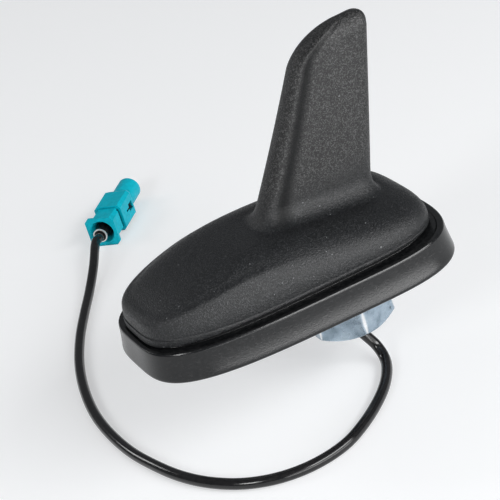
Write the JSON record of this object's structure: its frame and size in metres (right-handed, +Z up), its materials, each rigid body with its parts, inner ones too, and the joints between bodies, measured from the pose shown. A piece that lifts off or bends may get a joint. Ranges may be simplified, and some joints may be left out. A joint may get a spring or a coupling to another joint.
{
  "type": "shark fin aerial",
  "caption": "Roof aerial: hollow fin cover on a rubber foot, amplifier base with hollow stud and nut, and a coaxial lead with a plug.",
  "frame": {"origin": "on the stud's axis, in the plane of the roof that the foot and the stud's boss seat on", "axes": "+Z up out of the roof; +X towards the tail, -X towards the nose; the lead leaves the stud towards -Z"},
  "size_m": [0.0955, 0.1829, 0.0949],
  "materials": {
    "cover": "spark-eroded, matt black moulding",
    "rubber": "satin black rubber",
    "cast_metal": "as cast, light grey",
    "screw_steel": "zinc plated",
    "zinc": "bright zinc plated",
    "spring_steel": "plain spring steel",
    "board": "green solder mask",
    "tinplate": "bright tin",
    "black_plastic": "black epoxy",
    "copper": "enamelled copper",
    "cable_jacket": "smooth, semi-gloss black sheath",
    "teal_plastic": "fine matt blue-green moulding",
    "contact_metal": "white bronze plating",
    "white_plastic": "natural white",
    "gold_contact": "gold plated"
  },
  "bodies": {
    "root": {"radome_cover": "cover", "foot_gasket": "rubber", "base_plate": "cast_metal", "cover_screws": "screw_steel", "hex_nut": "zinc", "claw_washer": "spring_steel", "cable_grommet": "rubber", "amplifier_board": "board", "board_screws": "screw_steel", "shield_can": "tinplate", "amplifier_chip": "black_plastic", "filter_coils": "copper", "fin_radiator": "board", "radiator_spring": "spring_steel", "cable_clamp": "tinplate", "coax_cable": "cable_jacket", "crimp_ferrule": "tinplate", "connector_housing": "teal_plastic", "connector_lock": "teal_plastic", "contact_sleeve": "contact_metal", "contact_insulator": "white_plastic", "centre_contact": "gold_contact"}
  },
  "joints": []
}
